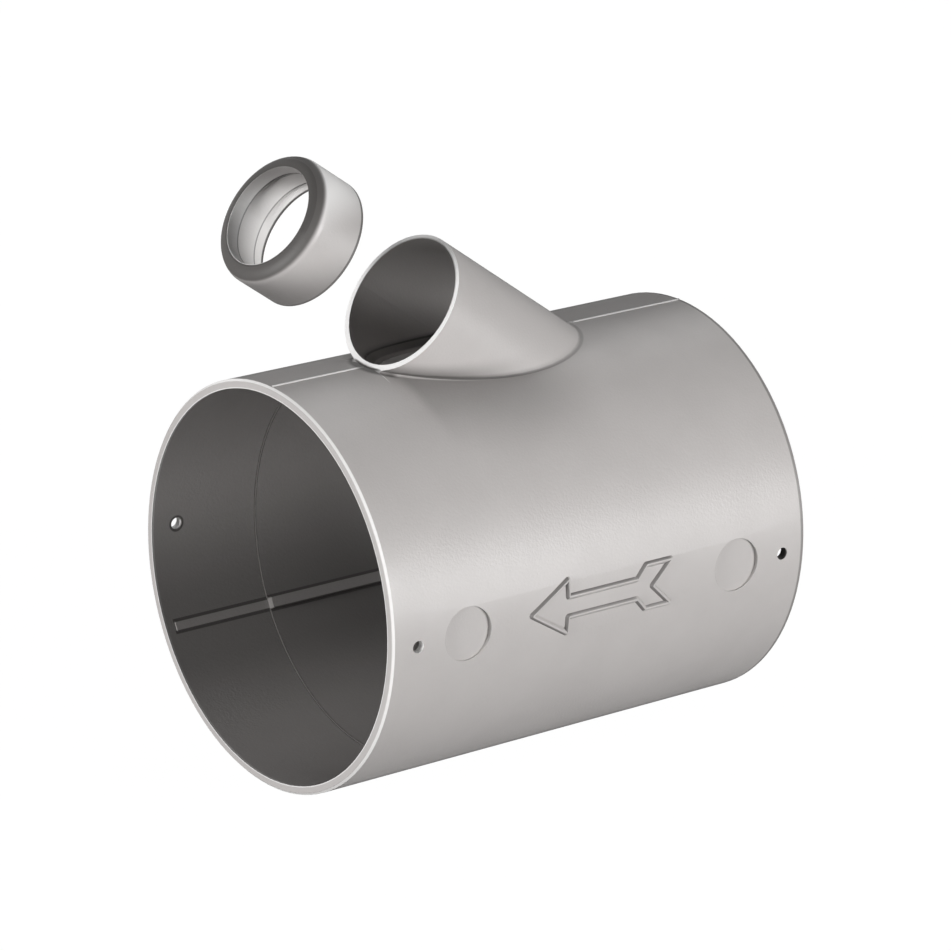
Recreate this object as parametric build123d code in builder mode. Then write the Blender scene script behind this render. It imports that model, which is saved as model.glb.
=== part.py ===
from build123d import *
from math import cos, radians, sin
import os

# Duct branch fitting: a straight round duct, a small slanted branch, and a loose insert ring
# Millimetres. The duct runs along X and its front mouth is centred on the origin
# The branch stands on the +Z side and leans towards the front mouth

# Duct
duct_outside = 69.0
duct_wall = 1.5
duct_length = 86.0
rim_bevel = 0.4

# Sockets: a pipe goes into each end as far as the stop ribs, and the bore between is a little tighter
socket_depth = 21.0
socket_shoulder = 0.36
rib_sides = 3
guide_rib_inset = 2.0
guide_rib_width = 1.7
guide_rib_height = 0.2
stop_rib_width = 2.0
stop_rib_height = 1.6

# Branch, tilted from the duct's axis. Its wall thickens towards the lip, which sinks into the duct's skin
branch_bore = 22.6
branch_crown_wall = 0.65
branch_lip_wall = 0.95
branch_tilt = 35.0
lip_inset = 19.3
lip_sink = 0.2
junction_round = 0.35

# Screw holes right through both side walls, one pair near each end
screw_hole = 2.1
screw_hole_inset = 5.0

# Shallow round recesses with flat floors, on the side of the duct that faces -Y
recess_diameter = 9.2
recess_depth = 0.6
recess_inset = 15.0

# Insert ring: a reducer that slides into the branch mouth up to its rounded nose
ring_clearance = 0.15
ring_body_length = 8.0
ring_nose_round = 2.2
ring_lip_bore = 17.1
ring_lip_length = 2.6
ring_main_bore = 18.9
ring_tail_bore = 20.0
ring_tail_length = 2.6
ring_lead_in = 0.4
ring_gap = 22.8

duct_radius = duct_outside / 2
socket_radius = duct_radius - duct_wall
middle_radius = socket_radius - socket_shoulder
middle_length = duct_length - 2 * socket_depth
bore_radius = branch_bore / 2
branch_radius = bore_radius + (branch_crown_wall + branch_lip_wall) / 2
branch_shift = (branch_lip_wall - branch_crown_wall) / 2

# The branch's mouth plane faces out along the branch. Its x direction is +Y, its y is down the mouth
tilt = radians(branch_tilt)
branch_out = Vector(-cos(tilt), 0, sin(tilt))
lip_to_centre = bore_radius + branch_lip_wall
mouth_centre = Vector(
    lip_inset + lip_to_centre * sin(tilt),
    0,
    duct_radius - lip_sink + lip_to_centre * cos(tilt),
)
mouth = Plane(origin=mouth_centre, x_dir=(0, 1, 0), z_dir=branch_out)
crown_height = mouth_centre.Z + (bore_radius + branch_crown_wall) * cos(tilt)
mouth_to_bore = (crown_height - middle_radius) / sin(tilt) + duct_wall

# Round the duct's bore the ribs start at the top, under the branch, and face the axis
top_angle = 90
rib_turn = 360 / rib_sides
rib_root = duct_wall / 2


def ribs(plane, height, width, start_angle, count):
    """Radial bars that stand inside the duct's wall and are rooted in it."""
    with BuildSketch(plane) as bars:
        with PolarLocations(socket_radius - height, count, start_angle, rib_turn * count):
            Rectangle(height + rib_root, width, align=(Align.MIN, Align.CENTER))
    return bars.sketch


# Core: the hollow inside, with a socket at each end, grooved where the ribs stand, and the branch's bore
with BuildPart() as core:
    for start in (0, duct_length - socket_depth):
        with BuildSketch(Plane.YZ.offset(start)):
            Circle(socket_radius)
        extrude(amount=socket_depth)
    with BuildSketch(Plane.YZ.offset(socket_depth)):
        Circle(middle_radius)
    extrude(amount=middle_length)
    for start in (guide_rib_inset, duct_length - socket_depth):
        guides = ribs(Plane.YZ.offset(start), guide_rib_height, guide_rib_width, top_angle, rib_sides)
        extrude(guides, amount=socket_depth - guide_rib_inset, mode=Mode.SUBTRACT)
    stops = ribs(
        Plane.YZ.offset(socket_depth),
        stop_rib_height,
        stop_rib_width,
        top_angle + rib_turn,
        rib_sides - 1,
    )
    extrude(stops, amount=middle_length, mode=Mode.SUBTRACT)
    with BuildSketch(mouth):
        Circle(bore_radius)
    extrude(amount=-mouth_to_bore)

with BuildPart() as branch_fitting:
    with BuildSketch(Plane.YZ):
        Circle(duct_radius)
    extrude(amount=duct_length)
    chamfer(branch_fitting.edges().filter_by(GeomType.CIRCLE), length=rim_bevel)
    with BuildSketch(mouth):
        with Locations((0, branch_shift)):
            Circle(branch_radius)
    extrude(amount=-mouth_to_bore)
    add(core.part, mode=Mode.SUBTRACT)

    # Screw holes through both side walls
    with BuildSketch(Plane.XZ.offset(duct_radius)):
        with Locations((screw_hole_inset, 0), (duct_length - screw_hole_inset, 0)):
            Circle(screw_hole / 2)
    extrude(amount=-duct_outside, mode=Mode.SUBTRACT)

    # Recesses in the outside
    with BuildSketch(Plane.XZ.offset(duct_radius - recess_depth)):
        with Locations((recess_inset, 0), (duct_length - recess_inset, 0)):
            Circle(recess_diameter / 2)
    extrude(amount=recess_depth, mode=Mode.SUBTRACT)

    # The blend where the branch leaves the duct, along the longest curved edge
    junction = branch_fitting.edges().filter_by(GeomType.BSPLINE).sort_by(SortBy.LENGTH)[-1]
    fillet(junction, radius=junction_round)
branch_fitting.part.label = "branch_fitting"

# Insert ring, drawn off along the branch: its section turns about the branch's axis
ring_radius = bore_radius - ring_clearance
ring_length = ring_body_length + ring_nose_round
ring_section = Plane(
    origin=mouth.offset(ring_gap).origin,
    x_dir=(0, 1, 0),
    z_dir=Vector(0, 1, 0).cross(branch_out),
)
with BuildPart() as insert_ring:
    with BuildSketch(ring_section) as section:
        with Locations((ring_lip_bore / 2, 0)):
            Rectangle(ring_radius - ring_lip_bore / 2, ring_length, align=Align.MIN)
        # In the sketch's own axes X is the distance from the branch's axis and Y runs towards the nose
        tail_corner, nose_corner = section.vertices().group_by(Axis.X)[-1].sort_by(Axis.Y)
        fillet(nose_corner, radius=ring_nose_round)
        chamfer(tail_corner, length=ring_lead_in)
        with Locations((ring_lip_bore / 2, 0)):
            Rectangle(
                (ring_main_bore - ring_lip_bore) / 2,
                ring_length - ring_lip_length,
                align=Align.MIN,
                mode=Mode.SUBTRACT,
            )
            Rectangle(
                (ring_tail_bore - ring_lip_bore) / 2,
                ring_tail_length,
                align=Align.MIN,
                mode=Mode.SUBTRACT,
            )
    revolve(axis=Axis(ring_section.origin, branch_out))
insert_ring.part.label = "insert_ring"

os.makedirs("parts", exist_ok=True)
export_step(branch_fitting.part, "parts/branch_fitting.step")
export_step(insert_ring.part, "parts/insert_ring.step")
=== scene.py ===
import math

import bpy
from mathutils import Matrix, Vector


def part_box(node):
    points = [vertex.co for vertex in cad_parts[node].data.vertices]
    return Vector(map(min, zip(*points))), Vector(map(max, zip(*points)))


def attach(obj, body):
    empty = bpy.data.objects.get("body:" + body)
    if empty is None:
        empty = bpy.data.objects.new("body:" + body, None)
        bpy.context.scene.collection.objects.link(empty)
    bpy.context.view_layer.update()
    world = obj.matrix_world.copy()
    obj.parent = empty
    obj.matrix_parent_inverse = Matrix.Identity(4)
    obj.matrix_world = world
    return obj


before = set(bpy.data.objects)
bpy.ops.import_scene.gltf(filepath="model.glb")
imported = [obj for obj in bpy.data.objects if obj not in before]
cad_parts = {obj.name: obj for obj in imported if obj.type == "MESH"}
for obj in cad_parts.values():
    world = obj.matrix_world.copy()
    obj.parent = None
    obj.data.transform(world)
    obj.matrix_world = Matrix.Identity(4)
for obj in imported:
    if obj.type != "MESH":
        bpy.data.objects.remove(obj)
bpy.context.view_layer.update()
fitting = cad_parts["branch_fitting"]
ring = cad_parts["insert_ring"]
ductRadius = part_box("branch_fitting")[1].y
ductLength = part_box("branch_fitting")[1].x
mm = 0.001
print("frame loaded:", sorted(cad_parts))


class Signal:
    # Wraps a socket, so that shader maths reads as a Python expression
    def __init__(self, graph, socket):
        self.graph = graph
        self.socket = socket

    def __add__(self, other):
        return self.graph.maths("ADD", self, other)

    def __sub__(self, other):
        return self.graph.maths("SUBTRACT", self, other)

    def __rsub__(self, other):
        return self.graph.maths("SUBTRACT", other, self)

    def __mul__(self, other):
        return self.graph.maths("MULTIPLY", self, other)

    def __neg__(self):
        return self.graph.maths("MULTIPLY", self, -1)

    def __abs__(self):
        return self.graph.maths("ABSOLUTE", self)

    __radd__ = __add__
    __rmul__ = __mul__


class Graph:
    def __init__(self, owner):
        owner.use_nodes = True
        self.tree = owner.node_tree
        self.tree.nodes.clear()

    def node(self, kind, settings=None, values=(), output=0):
        # Settings come first, because some of them change the sockets
        made = self.tree.nodes.new(kind)
        for key, value in (settings or {}).items():
            setattr(made, key, value)
        for key, value in values.items() if isinstance(values, dict) else enumerate(values):
            if isinstance(value, Signal):
                self.tree.links.new(value.socket, made.inputs[key])
            else:
                made.inputs[key].default_value = value
        return Signal(self, made.outputs[output]) if made.outputs else made

    def maths(self, operation, *terms):
        return self.node("ShaderNodeMath", {"operation": operation}, terms)

    def ramp(self, value, low, high):
        # 0 below low, 1 above high, smooth between
        ends = {"Value": value, "From Min": low, "From Max": high}
        return self.node("ShaderNodeMapRange", {"interpolation_type": "SMOOTHSTEP"}, ends)

    def fall(self, value, low, high):
        # 1 below low, 0 above high, smooth between
        return 1 - self.ramp(value, low, high)

    def line(self, value, centre, width, soft):
        # 1 on a line of the given width round the centre, with soft edges
        return self.fall(abs(value - centre), width / 2, width / 2 + soft)

    def noise(self, where, scale, detail, roughness):
        values = {"Vector": where, "Scale": scale, "Detail": detail, "Roughness": roughness}
        return self.node("ShaderNodeTexNoise", None, values)

    def blend(self, factor, first, second):
        # Inputs 6 and 7 and output 2 are the colours among a Mix node's sockets
        values = {0: factor, 6: (*first, 1) if isinstance(first, tuple) else first}
        values[7] = (*second, 1) if isinstance(second, tuple) else second
        return self.node("ShaderNodeMix", {"data_type": "RGBA"}, values, 2)


# Moulded grey plastic, satin and a little warm. A noise is given by its scale, detail and roughness
plastic = {
    "colour": (0.520, 0.497, 0.487),
    "deeper": (0.455, 0.434, 0.425),
    # The pale colour below paints highlights, the dark one paints shade
    "highlight": (0.930, 0.920, 0.910),
    "shadeColour": (0.075, 0.070, 0.067),
    "mottleNoise": (55.0, 4.0, 0.6),
    "mottleRange": (0.36, 0.68),
    "mottleShare": 0.35,
    "grainNoise": (2300.0, 2.0, 0.5),
    "grainShare": 0.10,
    "grainDepth": 0.03 * mm,
    # Painted shade darkens each surface near its silhouette
    "edge": (0.86, 0.97),  # how far a surface turns from the eye before it darkens
    "edgeShade": 0.5,
    "roughness": 0.40,
    "mottleRoughness": 0.14,
    "shadeRoughness": 0.2,
    "specular": 0.5,
}


def plasticFinish(name, marks):
    # marks adds what one piece has of its own: masks of its painted highlights and of its painted shade
    material = bpy.data.materials.new(name)
    graph = Graph(material)
    where = graph.node("ShaderNodeTexCoord", output="Object")
    mottle = graph.noise(where, *plastic["mottleNoise"])
    grain = graph.noise(where, *plastic["grainNoise"])
    axes = [graph.node("ShaderNodeSeparateXYZ", None, [where], axis) for axis in "XYZ"]
    highlight, shadeMask = marks(graph, *axes)
    # Painted shade where a surface turns away from the eye
    facing = graph.node("ShaderNodeLayerWeight", None, {"Blend": 0.5}, "Facing")
    edge = graph.ramp(facing, *plastic["edge"]) * plastic["edgeShade"]
    deeper = graph.ramp(mottle, *plastic["mottleRange"]) * plastic["mottleShare"]
    deeper = deeper + grain * plastic["grainShare"]
    tone = graph.blend(deeper, plastic["colour"], plastic["deeper"])
    # Painted highlights lighten the tone, then painted shade darkens it
    tone = graph.blend(highlight, tone, plastic["highlight"])
    tone = graph.blend(graph.maths("MAXIMUM", edge, shadeMask), tone, plastic["shadeColour"])
    # The noise is about 0.5 on average, so the mottle leaves the mean roughness as it is
    roughness = plastic["roughness"] + (mottle - 0.5) * plastic["mottleRoughness"]
    bump = graph.node("ShaderNodeBump", None,
                      {"Strength": 1.0, "Distance": plastic["grainDepth"], "Height": grain})
    shader = graph.node("ShaderNodeBsdfPrincipled", None, {
        "Base Color": tone,
        "Roughness": roughness + shadeMask * plastic["shadeRoughness"],
        "Specular IOR Level": plastic["specular"],
        "Normal": bump,
    })
    graph.node("ShaderNodeOutputMaterial", None, {"Surface": shader})
    return material


# The branch leaves the duct at this tilt. Its mouth plane's centre is given by x and z
branch = {
    "tilt": math.radians(35.0),
    "mouth": (26.3263 * mm, 44.3346 * mm),
    "outside": 12.1 * mm,
    "bore": 11.3 * mm,
}


def across(first, second):
    # Distance from the line where both are zero
    return first.graph.maths("SQRT", first * first + second * second)


def pastMouth(x, z):
    # Distance in front of the branch's mouth plane, below zero behind it
    rise = (z - branch["mouth"][1]) * math.sin(branch["tilt"])
    return rise - (x - branch["mouth"][0]) * math.cos(branch["tilt"])


def fromBranchAxis(x, y, z):
    down = (x - branch["mouth"][0]) * math.sin(branch["tilt"])
    down = down + (z - branch["mouth"][1]) * math.cos(branch["tilt"])
    return across(y, down)


# Where painted highlights lighten the fitting, and where painted shade darkens it
# A pair of lengths is a band over which a mask rises or falls. A line has a centre, a width and a softness
fittingPlaces = {
    "bore": 33.0 * mm,
    "boreEdge": (-0.05 * mm, 0.0),
    "nearSide": (30 * mm, 31 * mm),
    "upperHalf": (0.0, 5 * mm),
    "top": (10 * mm, 20 * mm),
    # Painted highlights on the front rim's bevel and inner edge
    "rim": {
        "depth": (0.36 * mm, 0.44 * mm),
        "bevel": (-0.4 * mm, -0.3 * mm),
        "innerEdge": (0.1 * mm, 0.2 * mm),
        "highlight": 0.7,
    },
    # A painted highlight along the branch's rim
    "branchRim": {
        "line": (0.0, 0.06 * mm, 0.06 * mm),
        "height": (33.6 * mm, 34.2 * mm),
        "highlight": 1.0,
    },
    # A painted highlight on the seam's crest
    "seamTop": {
        "line": (0.0, 0.8 * mm, 0.1 * mm),
        "foot": (0.0, 0.02 * mm),
        "crown": (0.2 * mm, 0.25 * mm),
        "highlight": 0.7,
    },
    # A painted highlight on the front hole's wall, and painted shade in the rear hole and round both holes
    "hole": {
        "inset": 5.0 * mm,  # from each end of the duct
        "radius": 1.05 * mm,
        "edge": (0.0, 0.02 * mm),
        "wall": (0.05 * mm, 0.1 * mm),
        "frontHighlight": 1.0,
        "rearShade": 1.0,
        "shadeLine": (0.15 * mm, 0.3 * mm, 0.2 * mm),
        "lineShade": 0.6,
    },
    # Painted shade in the duct's bore, with a painted light on its lowest strip
    "lining": {
        "wall": (0.2 * mm, 0.4 * mm),
        "start": (0.02 * mm, 0.1 * mm),
        "low": (-15 * mm, 10 * mm),
        "lowShade": 0.74,
        "deep": (10 * mm, 50 * mm),
        "deepShade": 0.16,
        "floor": (21 * mm, 35 * mm),
        "floorShade": -0.5,  # below zero, because the lowest strip is paler again
    },
    # Painted shade lines along the ribs' feet, and less painted shade on their faces
    "rib": {
        "turns": (90, 210, 330),  # in degrees, from +Y towards +Z
        "reach": (20 * mm, 25 * mm),
        "guideHalf": 0.85 * mm,
        "stopHalf": 1.0 * mm,
        "stopStart": (20.95 * mm, 21.0 * mm),
        "footLine": (0.15 * mm, 0.3 * mm, 0.2 * mm),
        "footInset": (1.6 * mm, 2.0 * mm),
        "footShade": 0.75,
        "faceEdge": (-0.05 * mm, 0.0),
        "faceInset": (1.9 * mm, 2.0 * mm),
        "faceShadeCut": 0.30,
    },
    # Painted shade on the shoulder's step, less where a rib crosses it
    "shoulder": {
        "line": (21.0 * mm, 0.1 * mm, 0.1 * mm),
        "paintedShade": 0.97,
        "ribShadeCut": 0.22,
    },
    # Painted shade in the branch's bore
    "branchBore": {
        "wall": (0.1 * mm, 0.2 * mm),
        "start": (0.0, 0.2 * mm),
        "deep": (24 * mm, 42 * mm),
        "deepShade": 0.36,
        "high": (36 * mm, 50 * mm),
        "highShade": 0.3,
    },
    # Painted shade in the crease round the branch's root
    "branchRoot": {
        "width": (0.1 * mm, 0.3 * mm),
        "above": (0.1 * mm, 0.4 * mm),
        "below": (-0.1 * mm, 0.0),
        "paintedShade": 0.33,
    },
    # Painted shade under the lip
    "underLip": {
        "width": (0.8 * mm, 1.4 * mm),
        "start": (-0.3 * mm, 0.0),
        "along": (1.0 * mm, 2.2 * mm),
        "above": (0.3 * mm, 0.6 * mm),
        "paintedShade": 0.75,
    },
    # A painted shadow on the duct beside the branch
    "branchShade": {
        "width": (0.0, 18 * mm),
        "start": (19.5 * mm, 22.5 * mm),
        "along": (-34 * mm, -18 * mm),
        "above": (0.1 * mm, 1.0 * mm),
        "paintedShade": 0.46,
    },
    # Painted shade low on the branch's side
    "branchFlank": {
        "above": (0.0, 4 * mm),
        "along": (-24 * mm, -6 * mm),
        "wall": (0.2 * mm, 0.4 * mm),
        "skin": (0.2 * mm, 0.3 * mm),
        "lip": (-0.2 * mm, -0.05 * mm),
        "paintedShade": 0.75,
    },
    # Painted shade along the rear rim
    "rearRim": {
        "depth": (0.8 * mm, 1.0 * mm),
        "wall": (0.0, 1.1 * mm),
        "paintedShade": 0.6,
    },
    # Painted shade on the arrow's flanks that face away from the lamps
    "arrowFlank": {
        "lee": (-1.0, 0.0, 0.25),  # the way that the darkened flanks face
        "slope": (0.06, 0.28),
        "height": (0.01 * mm, 0.03 * mm),
        "paintedShade": 0.75,
    },
    # Painted shade on the recesses' walls
    "recess": {
        "inset": 15.0 * mm,
        "radius": 4.6 * mm,
        "inner": (-0.06 * mm, -0.03 * mm),
        "outer": (0.005 * mm, 0.03 * mm),
        "height": (-4 * mm, -1 * mm),
        "paintedShade": 0.55,
    },
}


class Spot:
    # A point of the fitting, and how far it lies from the surfaces that the marks follow
    def __init__(self, x, y, z):
        reach = across(y, z)
        fromAxis = fromBranchAxis(x, y, z)
        self.x, self.y, self.z = x, y, z
        self.fromBore = reach - fittingPlaces["bore"]
        self.fromSkin = reach - ductRadius
        self.fromBranchBore = fromAxis - branch["bore"]
        self.fromBranchSkin = fromAxis - branch["outside"]
        self.pastMouth = pastMouth(x, z)

    def fromRound(self, centre, radius):
        # Distance from the edge of a round hole or recess in the duct's side
        return across(self.x - centre, self.z) - radius


def bothEnds(inset):
    return inset, ductLength - inset


def highlightPlaces(graph, at):
    # Painted highlights: on the front rim's bevel and inner edge, the branch's rim, the front screw hole and
    # the seam
    places = fittingPlaces
    rim, branchRim, hole, seamTop = (places[name] for name in ("rim", "branchRim", "hole", "seamTop"))
    bevel = graph.ramp(at.fromSkin, *rim["bevel"]) + graph.fall(at.fromBore, *rim["innerEdge"])
    bevel = bevel * graph.fall(at.x, *rim["depth"]) * graph.ramp(at.fromBore, *places["boreEdge"])
    mouth = graph.line(at.pastMouth, *branchRim["line"]) * graph.ramp(at.z, *branchRim["height"])
    rims = graph.maths("MAXIMUM", bevel * rim["highlight"], mouth * branchRim["highlight"])
    frontHole = graph.fall(at.fromRound(hole["inset"], hole["radius"]), *hole["edge"])
    frontHole = frontHole * graph.ramp(at.fromBore, *hole["wall"])
    height = at.z - ductRadius
    crest = graph.line(at.y, *seamTop["line"])
    crest = crest * graph.ramp(height, *seamTop["foot"]) * graph.fall(height, *seamTop["crown"])
    return rims + frontHole * hole["frontHighlight"] + crest * seamTop["highlight"]


def liningShade(graph, at):
    # Painted shade on the duct's bore: low down and deep in, on the shoulder, at the ribs' feet and round the
    # screw holes; a painted light on the lowest strip, and less shade on the ribs' faces
    places = fittingPlaces
    lining, rib, shoulder, hole = (places[name] for name in ("lining", "rib", "shoulder", "hole"))
    broadShade = graph.fall(at.z, *lining["low"]) * lining["lowShade"]
    broadShade = broadShade + graph.ramp(at.x, *lining["deep"]) * lining["deepShade"]
    broadShade = broadShade + graph.ramp(-at.z, *lining["floor"]) * lining["floorShade"]
    half = graph.ramp(at.x, *rib["stopStart"]) * (rib["stopHalf"] - rib["guideHalf"]) + rib["guideHalf"]
    feet = []
    faces = []
    for turn in rib["turns"]:
        outY = math.cos(math.radians(turn))
        outZ = math.sin(math.radians(turn))
        beside = abs(at.z * outY - at.y * outZ) - half
        thisSide = graph.ramp(at.y * outY + at.z * outZ, *rib["reach"])
        feet.append(graph.line(beside, *rib["footLine"]) * thisSide)
        faces.append(graph.fall(beside, *rib["faceEdge"]) * thisSide)
    feet = sum(feet)
    faces = sum(faces)
    for fromEnd in (at.x, ductLength - at.x):
        feet = feet * graph.ramp(fromEnd, *rib["footInset"])
        faces = faces * graph.ramp(fromEnd, *rib["faceInset"])
    broadShade = broadShade * (1 - faces * rib["faceShadeCut"])
    step = graph.line(at.x, *shoulder["line"]) * (shoulder["paintedShade"] - faces * shoulder["ribShadeCut"])
    paintedShade = graph.maths("MAXIMUM", broadShade, step) + feet * rib["footShade"]
    for centre in bothEnds(hole["inset"]):
        shade = graph.line(at.fromRound(centre, hole["radius"]), *hole["shadeLine"])
        paintedShade = paintedShade + shade * hole["lineShade"]
    return paintedShade


def shadeByBranch(graph, at, outside):
    places = fittingPlaces
    bore, root, lip, shade, flank = (places[name] for name in (
        "branchBore", "branchRoot", "underLip", "branchShade", "branchFlank"))
    upperHalf = graph.ramp(at.z, *places["upperHalf"])
    outsideTop = graph.ramp(at.z, *places["top"]) * outside

    # Painted shade in the bore, deeper in and higher up
    inBore = graph.fall(at.fromBranchBore, *bore["wall"]) * graph.ramp(at.fromBore, *bore["start"])
    broadShade = graph.ramp(at.x, *bore["deep"]) * bore["deepShade"]
    broadShade = broadShade + graph.ramp(at.z, *bore["high"]) * bore["highShade"]
    paintedShade = broadShade * inBore * upperHalf

    # Painted shade in the crease round the root
    crease = graph.fall(at.fromBranchSkin, *root["width"]) * graph.fall(at.fromSkin, *root["above"])
    crease = crease * graph.ramp(at.fromSkin, *root["below"]) * upperHalf
    paintedShade = paintedShade + crease * root["paintedShade"]

    # Painted shade beside the lowest stretch of the lip, where it sinks into the duct
    sunk = graph.ramp(at.fromBranchSkin, *lip["start"]) * graph.fall(at.fromBranchSkin, *lip["width"])
    sunk = sunk * graph.fall(abs(at.pastMouth), *lip["along"]) * graph.fall(at.fromSkin, *lip["above"])
    paintedShade = paintedShade + sunk * upperHalf * lip["paintedShade"]

    # Soft shade on the duct beside the branch
    soft = graph.fall(at.fromBranchSkin, *shade["width"]) * graph.ramp(at.x, *shade["start"])
    soft = soft * graph.ramp(at.pastMouth, *shade["along"]) * graph.fall(at.fromSkin, *shade["above"])
    paintedShade = paintedShade + soft * outsideTop * shade["paintedShade"]

    # Painted shade low down on the branch's own side
    foot = graph.ramp(at.fromBranchBore, *flank["wall"]) * graph.fall(at.fromBranchSkin, *flank["skin"])
    foot = foot * graph.ramp(at.pastMouth, *flank["along"]) * graph.fall(at.pastMouth, *flank["lip"])
    foot = foot * graph.fall(at.fromSkin, *flank["above"])
    return paintedShade + foot * outsideTop * flank["paintedShade"]


def detailShade(graph, at):
    # Painted shade on the rear rim, in the rear screw hole, on the arrow's far flanks and round the recesses
    places = fittingPlaces
    rim, hole, flank, recess = (places[name] for name in ("rearRim", "hole", "arrowFlank", "recess"))
    nearSide = graph.ramp(-at.y, *places["nearSide"])
    rearRim = graph.fall(ductLength - at.x, *rim["depth"]) * graph.ramp(at.fromBore, *rim["wall"])
    paintedShade = rearRim * rim["paintedShade"]
    rearHole = graph.fall(at.fromRound(ductLength - hole["inset"], hole["radius"]), *hole["edge"])
    paintedShade = paintedShade + rearHole * graph.ramp(at.fromBore, *places["boreEdge"]) * hole["rearShade"]
    normal = graph.node("ShaderNodeNewGeometry", output="Normal")
    turned = graph.node("ShaderNodeVectorMath", {"operation": "DOT_PRODUCT"}, [normal, flank["lee"]], "Value")
    lee = graph.ramp(turned, *flank["slope"]) * graph.ramp(at.fromSkin, *flank["height"]) * nearSide
    paintedShade = paintedShade + lee * flank["paintedShade"]
    for centre in bothEnds(recess["inset"]):
        fromEdge = at.fromRound(centre, recess["radius"])
        wall = graph.ramp(fromEdge, *recess["inner"]) * graph.fall(fromEdge, *recess["outer"])
        wall = wall * graph.ramp(at.z, *recess["height"]) * nearSide
        paintedShade = paintedShade + wall * recess["paintedShade"]
    return paintedShade


# The fitting's painted highlights, and its painted shade inside, round the branch and on small details
def fittingMarks(graph, x, y, z):
    at = Spot(x, y, z)
    lining = fittingPlaces["lining"]
    inside = graph.fall(at.fromBore, *lining["wall"]) * graph.ramp(x, *lining["start"])
    paintedShade = inside * liningShade(graph, at) + shadeByBranch(graph, at, 1 - inside) + detailShade(graph, at)
    return highlightPlaces(graph, at), paintedShade


# Painted shade on the ring: its nose is darker than its body, its bore has fine dark lines at the steps and
# is darker at the top, and its tail rim and lower side are darker. Painted highlights lighten its bore, its
# lip and the top of its body
# Places along the ring are measured out from the branch's mouth plane. stepLine is a width and a softness
ringPlaces = {
    "tailEnd": 22.8 * mm,
    "tailStep": 25.4 * mm,
    "lipStep": 30.4 * mm,
    "stepLine": (0.4 * mm, 0.15 * mm),
    "stepShade": 0.6,
    "nose": (31.3 * mm, 32.1 * mm),
    "noseInner": (0.02 * mm, 0.12 * mm),
    "noseShade": 0.95,
    "lipBore": 8.55 * mm,
    "lipStart": (-0.1 * mm, 0.1 * mm),
    "lipEdge": (0.25 * mm, 0.4 * mm),
    "lipEdgeShade": 0.35,
    "lipHighlight": 0.9,
    "tailBore": 10.0 * mm,
    "boreWall": (0.0, 0.1 * mm),
    "boreHighlight": 0.55,
    "boreShade": 0.6,
    "tailRim": (0.4 * mm, 0.55 * mm),
    "tailRimShade": 0.85,
    "high": (62 * mm, 69 * mm),
    "bodyHighlight": 0.95,
    "low": (50.5 * mm, 60 * mm),
    "bodyShade": 0.7,
}


def ringMarks(graph, x, y, z):
    places = ringPlaces
    along = pastMouth(x, z)
    reach = fromBranchAxis(x, y, z)
    fromLip = reach - places["lipBore"]
    inBore = graph.fall(reach - places["tailBore"], *places["boreWall"])
    high = graph.ramp(z, *places["high"])
    nose = graph.ramp(along, *places["nose"]) * graph.ramp(fromLip, *places["noseInner"])

    lip = graph.ramp(along - places["lipStep"], *places["lipStart"])
    lip = lip * (places["lipHighlight"] - places["boreHighlight"]) + places["boreHighlight"]
    highlit = inBore * lip * (1 - high) + (1 - inBore) * high * places["bodyHighlight"]

    steps = sum(graph.line(along, places[name], *places["stepLine"]) for name in (
        "lipStep", "tailStep", "tailEnd"))
    paintedShade = nose * places["noseShade"] + nose * graph.fall(fromLip, *places["lipEdge"]) * places["lipEdgeShade"]
    paintedShade = paintedShade + inBore * (steps * places["stepShade"] + high * places["boreShade"])
    paintedShade = paintedShade + graph.fall(along - places["tailEnd"], *places["tailRim"]) * places["tailRimShade"]
    under = graph.fall(z, *places["low"]) * (1 - inBore) * places["bodyShade"]
    return highlit * (1 - nose), graph.maths("MAXIMUM", paintedShade, under)


fittingPlastic = plasticFinish("fittingPlastic", fittingMarks)
ringPlastic = plasticFinish("ringPlastic", ringMarks)


def dress(piece, material):
    piece.data.materials.clear()
    piece.data.materials.append(material)


dress(fitting, fittingPlastic)
dress(ring, ringPlastic)
print("finishes made")


def roundCorners(points, radius, steps=4):
    # Each corner of a closed outline becomes a short curve
    count = len(points)
    curve = []
    for i, corner in enumerate(points):
        into = corner + (points[i - 1] - corner).normalized() * radius
        out = corner + (points[(i + 1) % count] - corner).normalized() * radius
        for step in range(steps + 1):
            t = step / steps
            curve.append(into * (1 - t) ** 2 + corner * 2 * t * (1 - t) + out * t * t)
    return curve


def dense(points, closed, spacing):
    # No stretch between two points is longer than the spacing, so that the bead follows the duct
    path = []
    ends = points[1:] + points[:1] if closed else points[1:]
    for first, second in zip(points, ends):
        steps = max(1, math.ceil((second - first).length / spacing))
        path += [first.lerp(second, step / steps) for step in range(steps)]
    return path if closed else path + [points[-1]]


def onDuct(along, sideways, height, middle):
    # Sideways runs round the duct from the middle angle, which counts up from the -Y side
    angle = middle + sideways / ductRadius
    reach = ductRadius + height
    return (along, -reach * math.cos(angle), reach * math.sin(angle))


# Half the section of a bead, from its root below the skin to its top, in shares of its width and height
beadShape = {
    "section": [(-0.5, -0.15), (-0.5, 0.0), (-0.18, 0.85), (-0.12, 0.97), (-0.06, 1.0)],
    "spacing": 0.8 * mm,
    "sharpest": 0.35,
}


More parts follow.
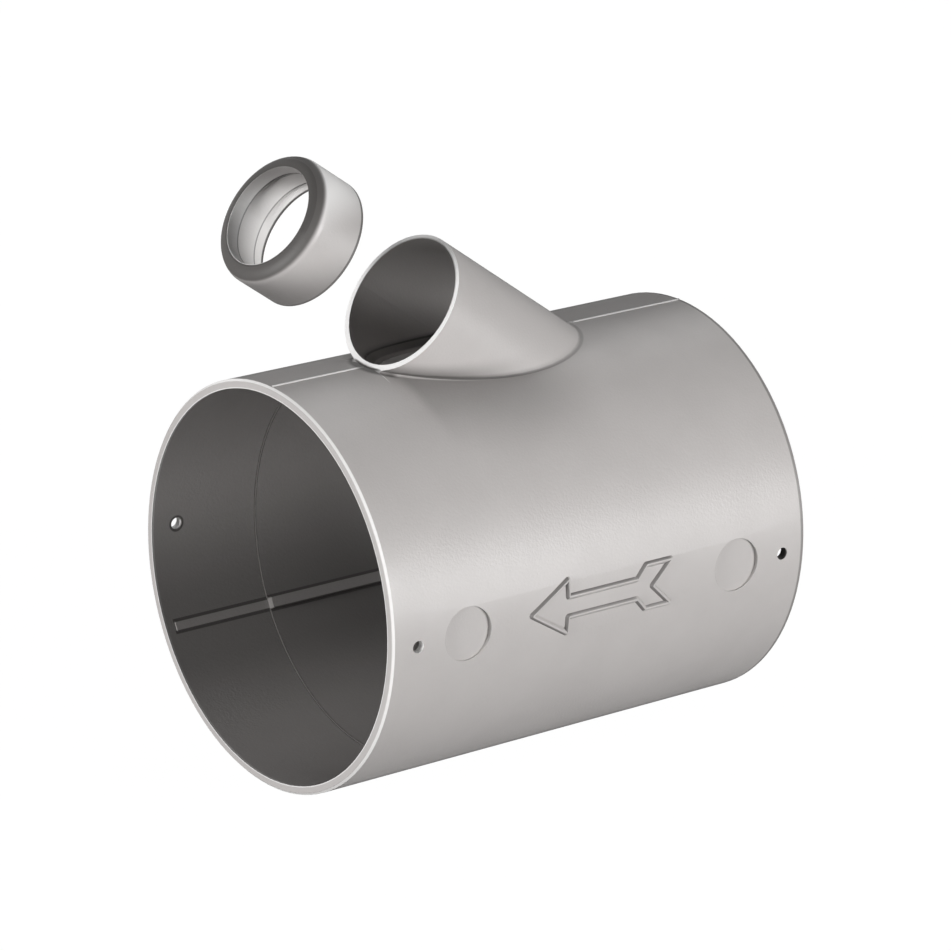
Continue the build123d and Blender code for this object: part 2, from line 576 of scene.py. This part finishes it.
def bead(name, points, closed, width, height, middle):
    # A bead with sloped sides and a narrow flat top, along a path on the duct's skin
    path = dense(points, closed, beadShape["spacing"])
    count = len(path)
    section = beadShape["section"]
    section = section + [(-offset, rise) for offset, rise in reversed(section)]
    section = [(offset * width, rise * height) for offset, rise in section]
    corners = []
    for i, point in enumerate(path):
        before = path[i - 1] if closed or i else point
        after = path[(i + 1) % count] if closed or i < count - 1 else point
        into = (point - before) if point != before else (after - point)
        out = (after - point) if after != point else into
        sides = [Vector((-run.y, run.x)).normalized() for run in (into, out)]
        mitre = (sides[0] + sides[1]).normalized()
        mitre = mitre / max(mitre.dot(sides[0]), beadShape["sharpest"])
        for offset, rise in section:
            spot = point + mitre * offset
            corners.append(onDuct(spot.x, spot.y, rise, middle))
    size = len(section)
    faces = []
    for i in range(count if closed else count - 1):
        for j in range(size - 1):
            k = (i + 1) % count
            faces.append((i * size + j, i * size + j + 1, k * size + j + 1, k * size + j))
    mesh = bpy.data.meshes.new(name)
    mesh.from_pydata(corners, [], faces)
    mesh.shade_smooth()
    piece = bpy.data.objects.new(name, mesh)
    bpy.context.scene.collection.objects.link(piece)
    dress(piece, fittingPlastic)
    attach(piece, "fitting")


# Raised outline of an arrow with a swallow tail, which points to the front mouth
arrow = {
    "middle": math.radians(0.55),
    "tip": 27.8 * mm,
    "headEnd": 35.3 * mm,
    "headHalf": 4.6 * mm,
    "shaftHalf": 1.72 * mm,
    "shaftEnd": 49.6 * mm,
    "flareEnd": 51.5 * mm,
    "flareHalf": 3.8 * mm,
    "tailEnd": 56.8 * mm,
    "notch": 52.8 * mm,
    "width": 1.05 * mm,
    "height": 0.45 * mm,
    "corner": 0.15 * mm,
}
upper = [
    (arrow["headEnd"], arrow["headHalf"]),
    (arrow["headEnd"], arrow["shaftHalf"]),
    (arrow["shaftEnd"], arrow["shaftHalf"]),
    (arrow["flareEnd"], arrow["flareHalf"]),
    (arrow["tailEnd"], arrow["flareHalf"]),
]
outline = [(arrow["tip"], 0.0), *upper, (arrow["notch"], 0.0)]
outline += [(along, -sideways) for along, sideways in reversed(upper)]
outline = roundCorners([Vector(point) for point in outline], arrow["corner"])
bead("flow_arrow", outline, True, arrow["width"], arrow["height"], arrow["middle"])
print("arrow made")

# Fine mould seam on top of the duct, broken by the branch
seam = {
    "width": 0.7 * mm,
    "height": 0.14 * mm,
    "runs": {"front": (0.5 * mm, 19.0 * mm), "rear": (62.4 * mm, ductLength - 0.5 * mm)},
}
for place, run in seam["runs"].items():
    ends = [Vector((along, 0.0)) for along in run]
    bead("mould_seam_" + place, ends, False, seam["width"], seam["height"], math.pi / 2)
print("seam made")


# Floor and world: white to the camera, with a soft shadow, and moderate in what they light
backdrop = {
    "floorSize": 4.0,
    "floorGap": 0.05 * mm,
    "floorColour": (0.30, 0.30, 0.30),
    "white": 0.92,
    "strength": 1.08,
    "mirrored": 0.2,
    "ambient": 0.03,
}


def seen(graph):
    # 1 for what the camera sees straight or through glass, less for soft reflections
    camera, glossy, through = (graph.node("ShaderNodeLightPath", output=name) for name in (
        "Is Camera Ray", "Is Glossy Ray", "Is Transmission Ray"))
    straight = graph.maths("MAXIMUM", camera, through)
    return graph.maths("MAXIMUM", straight, glossy * backdrop["mirrored"])


def makeFloor():
    half = backdrop["floorSize"] / 2
    corners = [(-half, -half, 0), (half, -half, 0), (half, half, 0), (-half, half, 0)]
    mesh = bpy.data.meshes.new("floor")
    mesh.from_pydata(corners, [], [(0, 1, 2, 3)])
    floor = bpy.data.objects.new("floor", mesh)
    bpy.context.scene.collection.objects.link(floor)
    floor.location = (0, 0, -ductRadius - backdrop["floorGap"])
    material = bpy.data.materials.new("floorWhite")
    graph = Graph(material)
    matt = graph.node("ShaderNodeBsdfDiffuse", None, {"Color": (*backdrop["floorColour"], 1)})
    white = graph.node("ShaderNodeEmission", None, {"Strength": backdrop["strength"]})
    mixed = graph.node("ShaderNodeMixShader", None, [seen(graph) * backdrop["white"], matt, white])
    graph.node("ShaderNodeOutputMaterial", None, {"Surface": mixed})
    dress(floor, material)


makeFloor()
world = bpy.data.worlds.new("studio")
bpy.context.scene.world = world
sky = Graph(world)
skyLight = seen(sky)
strength = skyLight + (1 - skyLight) * backdrop["ambient"]
skyShader = sky.node("ShaderNodeBackground", None, {"Color": (1, 1, 1, 1), "Strength": strength})
sky.node("ShaderNodeOutputWorld", None, {"Surface": skyShader})
print("backdrop made")

# Lamps: where each stands as seen from the duct's middle, its size in metres and its power in watts
lampDistance = 0.9
lamps = {
    "key": {"towards": (0.36, -1.0, -0.02), "size": 0.5, "power": 7.5},
    "side": {"towards": (0.45, -1.0, 0.18), "size": 0.5, "power": 3.4},
    "top": {"towards": (0.6, 0.5, 0.9), "size": 0.5, "power": 1.2},
    "fill": {"towards": (-0.8, -0.8, 0.5), "size": 0.5, "power": 0.2},
    "front": {"towards": (-1.0, -0.15, 0.14), "size": 0.32, "power": 7.2},
    "back": {"towards": (0.0, 1.0, 0.4), "size": 0.5, "power": 1.5},
}
middle = Vector((ductLength / 2, 0, 0))
for name, lamp in lamps.items():
    light = bpy.data.lights.new(name, "AREA")
    light.shape = "DISK"
    light.size = lamp["size"]
    light.energy = lamp["power"]
    stand = bpy.data.objects.new(name, light)
    towards = Vector(lamp["towards"]).normalized()
    stand.location = middle + towards * lampDistance
    stand.rotation_euler = towards.to_track_quat("Z", "Y").to_euler()
    bpy.context.scene.collection.objects.link(stand)
print("lamps made:", len(lamps))

# The camera stands where the photograph's outline puts it, turned by these degrees
cameraPlace = {
    "location": (-0.44164, -0.61531, 0.29091),
    "turn": (70.325, -1.574, -37.641),
    "lens": 188.8,
    "clip": (0.05, 20),
}
eye = bpy.data.cameras.new("photoCamera")
eye.lens = cameraPlace["lens"]
eye.clip_start, eye.clip_end = cameraPlace["clip"]
camera = bpy.data.objects.new("photoCamera", eye)
camera.location = cameraPlace["location"]
camera.rotation_euler = [math.radians(angle) for angle in cameraPlace["turn"]]
bpy.context.scene.collection.objects.link(camera)
bpy.context.scene.camera = camera
bpy.context.scene.view_settings.view_transform = "Standard"
